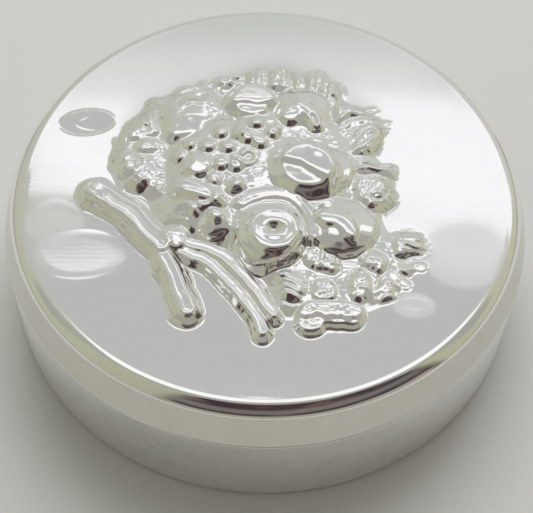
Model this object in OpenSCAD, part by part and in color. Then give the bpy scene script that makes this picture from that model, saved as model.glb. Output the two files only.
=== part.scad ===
// Round silver pill box with a lift-off lid. The lid is pressed with a bouquet of fruit and leaves.
// Lengths are in millimetres, +Z is up, and the origin is the middle of the underside.

/* [Box] */
// Outside diameter of the base and of the lid's rim
box_diameter = 50; // [46:0.5:58]
// Height of the base, up to the seam
base_height = 9.8; // [8:0.1:14]
// Height of the lid, from the seam to its flat top
lid_height = 4.2; // [3.8:0.1:5]
// Thickness of the silver sheet
sheet = 0.6; // [0.5:0.05:0.7]
// How far the lid draws in from its rim to the outside of its shoulder, all round
lid_taper = 1; // [0.8:0.05:1.1]
// Outside radius of the lid's shoulder
shoulder_radius = 1; // [0.8:0.05:1.2]
// Outside radius of the edge under the floor
foot_radius = 0.45; // [0.2:0.05:0.45]
// Rounding of the two edges that meet at the seam
seam_radius = 0.12; // [0.05:0.01:0.2]

/* [Collar] */
// How far the collar stands above the seam, inside the lid
collar_rise = 2.2; // [1.5:0.1:2.4]
// How far the collar reaches below the seam, inside the base
collar_depth = 2.8; // [2:0.1:4]
// Thickness of the collar
collar_sheet = 0.5; // [0.4:0.05:0.6]
// Gap between the collar and the inside of the lid
slip_gap = 0.08; // [0.05:0.01:0.15]
// Gap that shows as a hairline between the lid and the base
seam_gap = 0.04; // [0.03:0.01:0.08]

/* [Solder] */
// Leg of the solder fillet in the corner of the base
floor_fillet = 0.6; // [0.4:0.1:0.8]
// How far the solder bead inside the lid stands in from the band
bead_width = 0.25; // [0.15:0.05:0.35]
// How far down the band the solder bead reaches
bead_drop = 0.5; // [0.3:0.05:0.6]

/* [Relief] */
// Height of the tallest fruit above the lid's flat top
relief_height = 2.7; // [2.2:0.1:3]

/* [Hidden] */
$fn = 96;

outer_r = box_diameter / 2;
wall_inner_r = outer_r - sheet;
seam_z = base_height;
lid_rim_z = seam_z + seam_gap;
top_z = seam_z + lid_height;

// The shoulder's arc is centred here, and the lid's side runs tangent to it, down to the rim
shoulder_r = outer_r - lid_taper - shoulder_radius;
shoulder_z = top_z - shoulder_radius;
rim_reach = norm([outer_r - shoulder_r, shoulder_z - lid_rim_z]);
side_lean = atan2(outer_r - shoulder_r, shoulder_z - lid_rim_z) - asin(shoulder_radius / rim_reach);
side_sheet = sheet / cos(side_lean);

// The pressed plate and the band of the lid meet level with the arc's centre
lid_joint_z = shoulder_z;
lid_joint_r = outer_r - side_sheet - tan(side_lean) * (lid_joint_z - lid_rim_z);

collar_top_z = seam_z + collar_rise;
collar_foot_z = seam_z - collar_depth;
collar_r = outer_r - side_sheet - slip_gap;
collar_tip_r = collar_r - tan(side_lean) * collar_rise;
unit_height = relief_height / 2.7;

// Fruit and buds, each a dome: x, y, radius at the plate, height above the plate
FRUIT = [
    [0.5, -5.9, 4.2, 2.5],
    [4.3, 1.1, 3.1, 2.5],
    [4.1, 3.2, 2.8, 2.7],
    [6.5, -4.3, 2.3, 2.2],
    [7.4, -6.3, 2.1, 1.9],
    [-6.5, -2.9, 3.1, 2.2],
    [-6.9, 0.4, 2.3, 1.8],
    [-1.8, 7.9, 2.8, 2.5],
    [3.7, 8.1, 2.3, 2.0],
    [-8.2, 6.6, 2.3, 1.8]
];

// Grapes, each a small dome: x, y, radius at the plate, height above the plate
GRAPES = [
    [-8.3, 3.1, 1.1, 1.4],
    [-6.1, 3.9, 1.1, 1.5],
    [-3.9, 3.6, 1.1, 1.7],
    [-5.2, 2.0, 1.1, 1.6],
    [-2.6, 1.9, 1.1, 1.6],
    [-2.7, -0.8, 1.1, 1.5],
    [-4.9, 6.1, 1.2, 1.5]
];

// Leaves and blossoms, each a low dome: x, y, radius at the plate, height above the plate
LEAVES = [
    [-12.6, 5.6, 2.6, 1.1],
    [-12.5, 0.8, 2.4, 1.1],
    [-10.4, 9.6, 1.9, 1.0],
    [-6.6, 11.4, 1.9, 1.1],
    [-3.2, 12.6, 1.8, 1.1],
    [-0.9, 13.7, 1.6, 1.0],
    [2.1, 13.6, 1.9, 1.2],
    [5.5, 12.6, 1.9, 1.2],
    [8.7, 8.6, 2.1, 1.1],
    [10.4, 6.0, 1.8, 0.9],
    [10.5, 1.9, 1.9, 1.0],
    [10.2, -1.6, 1.9, 1.0],
    [12.9, -5.4, 1.9, 1.2],
    [12.0, -9.6, 1.8, 0.9],
    [9.2, -10.7, 2.0, 1.1],
    [4.9, -9.6, 1.7, 1.1],
    [2.3, -12.2, 1.7, 1.1],
    [5.6, -12.4, 1.8, 1.1],
    [5.9, -15.0, 1.7, 0.9],
    [-8.5, -6.6, 1.5, 1.3]
];

// Stalks, each a rod that lies half sunk in the plate: start, end, radius
STALKS = [
    [[-15.9, -1.9], [-9.4, -7.6], 1.25],
    [[-9.1, -7.9], [-7.0, -13.9], 1.35],
    [[-7.6, -7.4], [-2.9, -10.4], 0.8],
    [[-2.9, -10.4], [0.4, -15.9], 0.7],
    [[-4.1, -8.3], [1.2, -13.9], 0.65]
];

function dome_radius(reach, rise) = (reach * reach + rise * rise) / (2 * rise);

// One dome standing out of the plate, made smaller by skin for its hollow back
module dome(spot, skin) {
    rise = spot[3] * unit_height;
    ball = dome_radius(spot[2], rise);
    translate([spot[0], spot[1], top_z + rise - ball]) sphere(r = ball - skin);
}

// One round rod with ball ends, its axis a little under the plate's flat top
module stalk(path, skin) {
    run = path[1] - path[0];
    length = norm(run);
    turn = atan2(run[1], run[0]);
    rod_r = path[2] - skin;
    translate([path[0][0], path[0][1], top_z - 0.1]) rotate([0, 0, turn]) rotate([0, 90, 0]) {
        rotate_extrude() intersection() {
            union() {
                square([rod_r, length]);
                circle(r = rod_r);
                translate([0, length]) circle(r = rod_r);
            }
            translate([0, -rod_r]) square([rod_r, length + 2 * rod_r]);
        }
    }
}

// What a rounded edge leaves off a square corner that points along [side, up]
module corner_waste(corner, side, up, radius) {
    difference() {
        translate([corner[0] - (side > 0 ? radius : 0), corner[1] - (up > 0 ? radius : 0)]) square(radius);
        translate([corner[0] - side * radius, corner[1] - up * radius]) circle(r = radius);
    }
}

// Disc under the wall, with a rounded edge all round
module base_floor() {
    color("gainsboro") rotate_extrude() difference() {
        square([outer_r, sheet]);
        corner_waste([outer_r, 0], 1, -1, foot_radius);
    }
}

// Upright wall of the base, its top edge just rounded at the seam
module base_wall() {
    color("silver") rotate_extrude() difference() {
        translate([wall_inner_r, sheet]) square([sheet, seam_z - sheet]);
        corner_waste([outer_r, seam_z], 1, 1, seam_radius);
    }
}

// Collar that the lid drops over: straight in the base, and leaning in with the lid above it
module inner_collar() {
    color("whitesmoke") rotate_extrude() {
        translate([wall_inner_r - collar_sheet, collar_foot_z]) square([collar_sheet, collar_depth]);
        polygon([
            [wall_inner_r - collar_sheet, seam_z],
            [collar_r, seam_z],
            [collar_tip_r, collar_top_z],
            [collar_tip_r - collar_sheet, collar_top_z]
        ]);
    }
}

// Half section of a solder fillet in the corner under, or over, a level face at height z
module fillet_section(z, leg, up) {
    polygon([
        [wall_inner_r - leg, z],
        [wall_inner_r, z],
        [wall_inner_r, z + up * leg]
    ]);
}

// Solder in the corner between the floor and the wall
module floor_solder() {
    color("lightgray") rotate_extrude() fillet_section(sheet, floor_fillet, 1);
}

// Solder under the collar's lower edge
module collar_solder() {
    color("lightgray") rotate_extrude() fillet_section(collar_foot_z, collar_sheet, -1);
}

// Half section of all that lies within the lid's outer face, or within that face moved in by inset
module lid_section(inset) {
    arc_r = shoulder_radius - inset;
    square([shoulder_r, top_z - inset]);
    translate([shoulder_r, shoulder_z]) circle(r = arc_r);
    polygon([
        [0, lid_rim_z],
        [outer_r - inset / cos(side_lean), lid_rim_z],
        [shoulder_r + arc_r * cos(side_lean), shoulder_z + arc_r * sin(side_lean)],
        [0, shoulder_z + arc_r * sin(side_lean)]
    ]);
}

// Half section of the lid's sheet between two heights
module lid_sheet_section(z_low, z_high) {
    intersection() {
        difference() {
            lid_section(0);
            lid_section(sheet);
        }
        translate([0, z_low]) square([outer_r, z_high - z_low]);
    }
}

// Everything that stands out of the plate, made smaller by skin for the hollow back
module relief(skin) {
    for (spot = FRUIT) dome(spot, skin);
    for (path = STALKS) if (path[2] > 1 || skin == 0) stalk(path, skin);
    if (skin == 0) {
        for (spot = GRAPES) dome(spot, skin);
        for (spot = LEAVES) dome(spot, skin);
    }
}

// Pressed top of the lid: the flat plate, its shoulder and the bouquet, hollow behind
module lid_plate() {
    color("gainsboro") difference() {
        union() {
            rotate_extrude() lid_sheet_section(lid_joint_z, top_z);
            intersection() {
                relief(0);
                translate([0, 0, top_z - sheet / 2]) cylinder(r = shoulder_r - 1, h = relief_height + sheet);
            }
        }
        relief(sheet);
    }
}

// Flared side of the lid, from the joint under the shoulder down to the seam
module lid_band() {
    color("silver") rotate_extrude() difference() {
        lid_sheet_section(lid_rim_z, lid_joint_z);
        corner_waste([outer_r, lid_rim_z], 1, -1, seam_radius);
    }
}

// Solder bead round the inside of the lid, just under the joint of the plate and the band
module lid_solder() {
    color("lightgray") rotate_extrude() polygon([
        [lid_joint_r, lid_joint_z],
        [lid_joint_r - bead_width, lid_joint_z - bead_drop / 2],
        [lid_joint_r + tan(side_lean) * bead_drop, lid_joint_z - bead_drop]
    ]);
}

base_floor();
base_wall();
inner_collar();
floor_solder();
collar_solder();
lid_plate();
lid_band();
lid_solder();
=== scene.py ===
"""Round silver pill box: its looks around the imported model. Shapes are worked out in millimetres."""
import math

import bpy
import numpy as np
from mathutils import Matrix, Vector, geometry


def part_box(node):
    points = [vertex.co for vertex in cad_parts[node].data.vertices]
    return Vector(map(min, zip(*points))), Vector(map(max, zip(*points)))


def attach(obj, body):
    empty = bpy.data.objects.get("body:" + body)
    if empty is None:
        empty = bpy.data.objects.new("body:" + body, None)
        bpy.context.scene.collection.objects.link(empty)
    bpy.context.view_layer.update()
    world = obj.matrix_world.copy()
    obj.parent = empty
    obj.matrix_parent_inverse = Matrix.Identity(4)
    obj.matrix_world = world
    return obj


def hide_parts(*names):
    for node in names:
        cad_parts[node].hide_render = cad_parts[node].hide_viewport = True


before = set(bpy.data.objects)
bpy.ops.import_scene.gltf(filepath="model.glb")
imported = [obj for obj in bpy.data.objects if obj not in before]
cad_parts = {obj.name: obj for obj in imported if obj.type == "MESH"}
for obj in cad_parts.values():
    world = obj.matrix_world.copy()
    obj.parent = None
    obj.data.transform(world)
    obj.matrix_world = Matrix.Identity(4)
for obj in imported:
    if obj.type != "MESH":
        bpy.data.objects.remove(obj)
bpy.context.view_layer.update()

MM = 0.001

# ---------------------------------------------------------------- sizes taken from the frame, in mm


def node_box(name):
    """Low and high corner of one CAD part."""
    low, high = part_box(name)
    return np.array(low) / MM, np.array(high) / MM


OUTER_R = node_box("base_wall")[1][0]
FLOOR_TOP = node_box("base_floor")[1][2]
RIM_Z = node_box("lid_band")[0][2]
JOINT_Z = node_box("lid_band")[1][2]
SHEET = FLOOR_TOP
SHOULDER = 1.0  # height of the rounded shoulder
TOP_Z = JOINT_Z + SHOULDER
FLAT_R = OUTER_R - 2 * SHOULDER
EASE_R = FLAT_R - 0.5 * SHOULDER  # where the flat top starts to roll over
REACH = math.hypot(OUTER_R - FLAT_R, JOINT_Z - RIM_Z)
LEAN = math.atan2(OUTER_R - FLAT_R, JOINT_Z - RIM_Z) - math.asin(SHOULDER / REACH)  # of the lid's side

# ---------------------------------------------------------------- relief: a height over the flat top

X = Y = None  # the places where the height is wanted, set by press and relief_height
BELOW = -3.0  # a height under everything else, where a shape doesn't reach


def turned(at, turn):
    """Coordinates along and across a line through `at`, turned by `turn` degrees."""
    c, s = math.cos(math.radians(turn)), math.sin(math.radians(turn))
    dx, dy = X - at[0], Y - at[1]
    return dx * c + dy * s, dy * c - dx * s


def over(ground, shape, blend):
    """The higher of two heights, with the crease between them rounded."""
    lap = np.maximum(blend - np.abs(ground - shape), 0) / blend
    return np.maximum(ground, shape) + lap * lap * blend / 4


def within_ellipse(at, size, turn):
    """How far out each place lies on an ellipse, 0 in its middle and 1 on its edge, and how far across it."""
    u, v = turned(at, turn)
    return np.sqrt((u / size[0]) ** 2 + (v / size[1]) ** 2), v


def placed(near, height):
    """A height known only at the near places, laid on the whole field."""
    out = np.full(X.shape, BELOW)
    out[near] = height
    return out


def bump(at, size, rise, turn, full):
    """A small swelling to add to a height; a fuller one has a flatter top."""
    rho = within_ellipse(at, size, turn)[0]
    return rise * np.maximum(1 - rho ** full, 0)


def ramp(k, soft):
    """From 0 to 1 as k goes from 0 to 1: straight in the middle and eased over `soft` at both ends."""
    k = np.clip(k, 0, 1)
    low, high = np.minimum(k, soft), np.maximum(k, 1 - soft)
    total = low ** 2 / 2 / soft + np.clip(k - soft, 0, 1 - 2 * soft)
    total += soft / 2 - (1 - high) ** 2 / 2 / soft
    return total / (1 - soft)


def mound(top, top_r, foot, foot_r, rise, soft=0.3, crown=0.04):
    """A fruit: a gently crowned round top whose sides run down to a round foot that may lie off centre."""
    u, v = X - top[0], Y - top[1]
    fu, fv = foot[0] - top[0], foot[1] - top[1]
    grow = foot_r - top_r
    a = fu * fu + fv * fv - grow * grow
    b = u * fu + v * fv + top_r * grow
    d2 = u * u + v * v
    k = (b - np.sqrt(np.maximum(b * b - a * (d2 - top_r * top_r), 0))) / a
    inside = np.minimum(d2 / top_r ** 2, 1)
    return rise * (1 - ramp(k, soft)) - crown * rise * inside + BELOW * (k > 1)


def spline(points, steps=16, closed=False):
    """A smooth curve through given points."""
    p = [np.array(q, float) for q in points]
    p = [p[-1]] + p + p[:2] if closed else [2 * p[0] - p[1]] + p + [2 * p[-1] - p[-2]]
    out = []
    for i in range(1, len(p) - 2):
        for k in range(steps):
            t = k / steps
            a, b, c, d = p[i - 1], p[i], p[i + 1], p[i + 2]
            out.append(0.5 * (2 * b + (c - a) * t + (2 * a - 5 * b + 4 * c - d) * t * t
                              + (3 * b - a - 3 * c + d) * t ** 3))
    out.append(p[-2])
    return np.array(out)


def beside(curve, margin):
    """Around a curve: which places are near it, how far along each one is, and the distance to its left."""
    low, high = curve.min(0) - margin, curve.max(0) + margin
    near = (X > low[0]) & (X < high[0]) & (Y > low[1]) & (Y < high[1])
    px, py = X[near], Y[near]
    best = np.full(px.shape, 1e9)
    along, side = np.zeros(px.shape), np.zeros(px.shape)
    for i in range(len(curve) - 1):
        a, step = curve[i], curve[i + 1] - curve[i]
        k = np.clip(((px - a[0]) * step[0] + (py - a[1]) * step[1]) / (step @ step), 0, 1)
        ex, ey = px - a[0] - k * step[0], py - a[1] - k * step[1]
        d2 = ex * ex + ey * ey
        closer = d2 < best
        best[closer] = d2[closer]
        along[closer] = (i + k[closer]) / (len(curve) - 1)
        side[closer] = (np.sqrt(d2) * np.where(step[0] * ey - step[1] * ex >= 0, 1, -1))[closer]
    return near, along, side


def inward(outline, margin):
    """Around a closed outline: which places are in it or near it, and how far inside it each one lies."""
    curve = spline(outline, closed=True, steps=8)
    near, along, side = beside(curve, margin)
    area = np.sum(curve[:-1, 0] * curve[1:, 1] - curve[1:, 0] * curve[:-1, 1])
    return near, side * (1 if area > 0 else -1)


def stalk(points, width, rise, flank, ridge, swell=0.0):
    """A flat-topped rod along a curve: `width` is half its top, `flank` how far each side runs out.

    `ridge` is the height of the line along both edges of the top, and `swell` how much the rod widens
    towards its far end.
    """
    near, along, side = beside(spline(points), width * (1 + swell) + flank + 0.2)
    s = np.abs(side)
    w = width * (1 + swell * along ** 2)
    height = rise * (1 - ramp((s - w) / flank, 0.35)) + ridge * np.exp(-((s - w + 0.15) / 0.18) ** 2)
    return placed(near, height + BELOW * (s > w + flank))


def pad(outline, rise, edge):
    """A leaf of any outline: level on top, with an even slope all round, `edge` wide."""
    near, depth = inward(outline, 0.1)
    return placed(near, rise * ramp(depth / edge, 0.3) + BELOW * (depth < 0))


def mesa(outline, rise, flank, crown=0.1):
    """A fruit whose top has any outline: crowned inside it, with sides that run down evenly outside it."""
    near, depth = inward(outline, flank + 0.1)
    inner = 1 - (1 - np.clip(depth / 1.4, 0, 1)) ** 2
    height = rise * (1 - ramp(-depth / flank, 0.25)) + crown * inner
    return placed(near, height + BELOW * (depth < -flank))


def fold(points, width, depth):
    """A ridge, or a groove where depth is negative, to add to a height: it fades at both ends."""
    near, along, side = beside(spline(points, steps=8), 3 * width)
    fade = np.sin(math.pi * np.clip(along, 0, 1)) ** 0.5
    out = np.zeros(X.shape)
    out[near] = depth * fade * np.exp(-(side / width) ** 2)
    return out


def lattice(ix, iy, seed):
    """A fixed number from 0 to 1 for each lattice point."""
    raw = np.sin(ix * 127.1 + iy * 311.7 + seed * 74.7) * 43758.5453
    return raw - np.floor(raw)


def noise(size, seed):
    """Smooth uneven ground of about the given size, from 0 to 1."""
    gx, gy = X / size + 100, Y / size + 100
    ix, iy = np.floor(gx), np.floor(gy)
    fx, fy = gx - ix, gy - iy
    fx, fy = fx * fx * (3 - 2 * fx), fy * fy * (3 - 2 * fy)
    low = lattice(ix, iy, seed) * (1 - fx) + lattice(ix + 1, iy, seed) * fx
    high = lattice(ix, iy + 1, seed) * (1 - fx) + lattice(ix + 1, iy + 1, seed) * fx
    return low * (1 - fy) + high * fy


def crinkle(at, size, depth, grain, seed):
    """Small folds inside an ellipse, to add to a height."""
    rho = within_ellipse(at, size, 0)[0]
    wide, tight = (1 - 2 * np.abs(2 * n - 1) for n in (noise(grain, seed), noise(grain * 0.6, seed + 5)))
    return depth * np.clip((1 - rho) * 3, 0, 1) * (wide + 0.5 * tight)


def ribs(at, size, depth, pitch, turn):
    """Uneven parallel ridges inside an ellipse, running along `turn`, to add to a height."""
    rho, v = within_ellipse(at, size, turn)
    wave = np.abs(np.cos(math.pi * (v + 0.5 * pitch * noise(1.1, 5)) / pitch))
    return depth * np.clip((1 - rho) * 3, 0, 1) * (2 * wave ** 0.5 - 1)


def dent(at, size, depth, turn=0):
    """A soft dent or swelling."""
    u, v = turned(at, turn)
    return depth * np.exp(-(u / size[0]) ** 2 - (v / size[1]) ** 2)


def knob(at, crown):
    """A grape, to add to a height: a round crowned top with a quick flank all round."""
    top, flank, rise = 0.5, 0.4, 0.35
    rho = np.hypot(X - at[0], Y - at[1])
    return rise * (1 - ramp((rho - top) / flank, 0.3)) + crown * (1 - np.minimum(rho / top, 1) ** 2)


def terrace(line, width, drop):
    """A step down to the front of a line, to add to a height."""
    xs, ys = zip(*line)
    return -drop * ramp((np.interp(X, xs, ys) - Y) / width, 0.5)


# The middle of each grape
GRAPES = (
    (-5.7, 3.3), (-3.7, 3.2), (-2.8, 4.9), (-1.9, 4.4), (-4.5, 5.1), (-1.1, 6.3), (0.5, 5.2), (-0.75, 3.9),
    (-4.3, 1.1), (-2.9, 1.0), (-4.8, -0.6), (-4.3, -2.9), (-7.5, 3.6), (-8.4, 2.4),
)


def fruit():
    """Everything smooth: the fruit and the bunches of grapes."""
    # low mounds under everything
    h = mound((-0.6, 1.8), 7.6, (-0.4, 1.4), 11.0, 1.3, crown=0.2)
    h += crinkle((0, 0), (12, 12), 0.045, 0.5, 7)
    h = over(h, mound((-3.2, 2.6), 3.8, (-3.4, 2.2), 6.4, 1.55, crown=0.08), 0.5)
    h = over(h, mound((-1.0, 5.9), 1.9, (-1.0, 5.2), 3.8, 1.6, crown=0.1), 0.4)
    # apple: a level top with a dimple, and a low collar behind it
    ring = np.hypot(X - 0.5, Y + 5.9)
    off = np.abs(ring - 3.9)
    collar = 1.45 * (1 - ramp((off - 0.35) / 0.9, 0.35)) + BELOW * (off > 1.25)
    collar += 0.07 * np.exp(-((ring - 4.1) / 0.25) ** 2)
    collar -= 4 * ramp(np.clip(-4.4 - Y - 0.5 * X, 0, 3) / 3, 0.3)
    h = over(h, collar, 0.3)
    h = over(h, mound((0.5, -5.7), 3.2, (0.4, -5.7), 4.3, 1.25), 0.3)
    h = over(h, mound((0.75, -6.6), 2.75, (0.0, -6.5), 4.1, 2.25, crown=0.12), 0.2)
    apple = mound((0.9, -6.75), 2.15, (0.7, -6.65), 3.5, 2.5, soft=0.15, crown=0.02)
    apple += 0.05 * np.exp(-((np.hypot(X - 0.95, Y + 6.6) - 1.9) / 0.28) ** 2)
    h = over(h, apple, 0.2)
    h += dent((0.85, -6.7), (0.6, 0.42), -0.6, 10) + dent((0.9, -7.6), (0.7, 0.35), 0.06)
    h += dent((1.9, -5.9), (0.5, 0.8), 0.05, 30) + dent((-0.2, -5.6), (0.7, 0.4), 0.04, 20)
    # peach, with a long slope on its left
    h = over(h, mound((3.4, 0.9), 1.3, (0.7, 1.7), 4.7, 2.2, soft=0.2), 0.4)
    peach = mound((3.8, 0.8), 2.1, (3.4, 0.3), 4.8, 2.65, soft=0.25, crown=0.0)
    peach += 0.05 * (Y - 0.8)
    step = terrace(((1.6, 1.7), (2.3, 1.5), (3.2, 1.25), (4.0, 0.5), (5.5, 0.0)), 1.2, 0.28)
    peach += step * ramp(5.9 - X, 0.4)
    peach += dent((4.8, 2.2), (0.5, 0.8), 0.09, turn=40)
    h = over(h, peach, 0.3)
    h = over(h, mound((5.6, 1.3), 2.2, (5.8, 1.3), 3.4, 1.7, crown=0.25), 0.3)
    # plum
    h = over(h, mound((7.0, -5.2), 2.9, (7.0, -5.3), 3.6, 1.85, crown=0.4), 0.3)
    plum = mesa(((4.9, -4.6), (5.4, -4.15), (6.4, -4.1), (7.3, -4.5), (7.85, -5.4), (8.0, -6.3), (7.8, -7.0),
                 (7.3, -6.6), (6.8, -5.9), (6.2, -5.5), (5.4, -5.35), (4.95, -5.0)), 1.95, 1.1)
    h = over(h, plum, 0.3)
    # the lumpy fruit on the left
    h = over(h, mound((-5.4, -2.2), 1.1, (-7.0, -3.2), 4.2, 1.75, soft=0.2, crown=0.1), 0.3)
    h = over(h, mound((-6.5, 0.95), 1.15, (-6.6, 0.7), 2.4, 2.05, soft=0.2, crown=0.08), 0.2)
    h += fold([(-8.0, 1.6), (-7.2, 1.5), (-6.6, 0.9), (-5.8, 0.5)], 0.22, 0.08)
    h = over(h, mesa(((-8.3, -0.9), (-7.2, -0.8), (-6.0, -1.4), (-5.3, -2.0), (-5.4, -2.8), (-6.4, -2.7),
                      (-7.6, -2.3), (-8.4, -1.8)), 1.85, 1.2, crown=0.1), 0.2)
    h += fold([(-8.0, -0.95), (-6.8, -1.3), (-5.5, -2.1)], 0.2, 0.08)
    h += fold([(-8.0, -1.95), (-6.8, -2.2), (-5.6, -2.6)], 0.2, 0.08)
    h += fold([(-8.2, -3.2), (-7.4, -3.3), (-6.7, -3.9), (-6.2, -4.7)], 0.24, 0.2)
    h += fold([(-6.4, -3.1), (-5.8, -3.7), (-5.2, -3.5), (-4.7, -3.0)], 0.22, 0.18)
    h += fold([(-7.9, -4.6), (-7.1, -5.0), (-6.4, -5.7)], 0.2, 0.14)
    h += crinkle((-6.6, -4.4), (1.6, 1.3), 0.05, 0.5, 93)
    h = over(h, mound((-4.5, -4.9), 1.5, (-4.5, -5.0), 2.2, 1.5, crown=0.3), 0.2)
    h = over(h, mound((-4.6, -4.7), 0.6, (-4.6, -4.8), 1.4, 1.95, soft=0.2, crown=0.04), 0.2)
    # fruit at the back
    back = mound((-1.5, 9.3), 1.7, (-1.7, 8.3), 4.0, 2.0, soft=0.2, crown=0.0)
    back += terrace(((-4, 8.8), (-2.6, 9.15), (-1.2, 8.9), (1, 9.2)), 1.0, 0.22)
    back += terrace(((-4, 8.2), (-2.2, 7.8), (-0.8, 8.0), (1, 7.6)), 1.1, 0.2)
    h = over(h, back, 0.3)
    h = over(h, mound((3.0, 8.6), 2.9, (3.0, 8.5), 3.6, 1.8, crown=0.45), 0.3)
    h = over(h, mound((2.1, 7.5), 0.8, (2.0, 7.3), 2.2, 1.85, soft=0.25, crown=0.06), 0.3)
    h = over(h, mesa(((2.7, 8.6), (3.4, 9.0), (4.2, 8.4), (4.7, 7.4), (5.0, 6.2), (4.5, 6.0), (4.0, 6.9),
                      (3.3, 7.8)), 1.85, 1.0, crown=0.1), 0.15)
    h += fold([(1.0, 9.9), (1.6, 8.9), (2.4, 8.4), (3.0, 9.2), (3.9, 9.3)], 0.28, 0.09)
    h += fold([(4.2, 7.5), (4.5, 6.7), (4.9, 5.8)], 0.13, -0.4) + fold([(-3.1, 7.6), (-3.0, 6.7)], 0.14, -0.3)
    h = over(h, mesa(((-9.5, 8.6), (-8.7, 8.2), (-8.0, 8.9), (-7.4, 9.3), (-6.4, 9.2), (-5.7, 9.8),
                      (-5.4, 8.6), (-5.9, 7.0), (-6.6, 5.9), (-7.8, 5.3), (-8.9, 5.0), (-9.5, 6.2),
                      (-9.6, 7.4)), 1.3, 2.0), 0.3)
    h += dent((-7.5, 7.2), (1.0, 0.8), 0.1)
    h += fold([(-9.5, 8.3), (-8.7, 7.9), (-8.0, 8.6), (-7.4, 9.0), (-6.4, 8.9), (-5.8, 9.6)], 0.22, 0.13)
    for place in GRAPES:
        h += knob(place, 0.06)
    h += knob((-2.75, -1.2), 0.12)
    # a small curl between the grapes
    u, v = X + 1.9, Y - 2.2
    r, a = np.hypot(u, v), np.arctan2(v, u)
    h += 0.22 * np.maximum(1 - (np.abs(r - 0.8 + 0.12 * a) / 0.3) ** 2, 0)
    # creases between the fruit, and a faint unevenness over all of it
    h += crinkle((-0.6, 7.0), (1.7, 0.9), 0.05, 0.4, 3) + crinkle((1.0, 4.6), (2.4, 1.6), 0.04, 0.45, 15)
    h += crinkle((-5.1, 8.2), (1.1, 1.3), 0.05, 0.45, 111) + crinkle((-0.8, 0.4), (0.9, 1.5), 0.05, 0.45, 113)
    h += crinkle((0, 0), (16, 16), 0.006, 0.55, 101)
    return h


def stalks(h):
    """The height with the stalks, and the knot where they meet, laid over it."""
    h = over(h, stalk([(-15.9, -1.7), (-14.4, -2.6), (-12.3, -4.3), (-10.6, -6.1), (-9.2, -7.6)], 0.8, 1.2,
                      flank=1.0, ridge=0.04), 0.2)
    h = over(h, mound((-15.5, -1.9), 0.75, (-15.7, -2.1), 1.7, 1.25, soft=0.35), 0.2)
    h += fold([(-15.6, -3.6), (-14.9, -3.7), (-14.0, -4.3)], 0.14, 0.09)
    h = over(h, stalk([(-9.2, -7.9), (-8.7, -9.4), (-7.9, -11.0), (-7.2, -12.8), (-6.6, -14.3)], 0.5, 1.05,
                      flank=1.0, ridge=0.04, swell=0.2), 0.2)
    for line, rise in (([(-7.8, -7.1), (-5.2, -7.9), (-3.0, -9.3), (-1.3, -11.3), (0.9, -14.6)], 0.9),
                       ([(-7.8, -7.9), (-5.0, -9.4), (-2.9, -11.5), (-1.1, -14.0), (0.1, -16.4)], 0.8)):
        h = over(h, stalk(line, 0.42, rise, flank=0.6, ridge=0.08), 0.15)
    h = over(h, mound((-8.3, -6.9), 1.1, (-8.3, -6.9), 2.2, 1.3, soft=0.35, crown=0.15), 0.25)
    return h + crinkle((-7.9, -6.5), (1.6, 1.7), 0.05, 0.45, 11)


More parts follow.
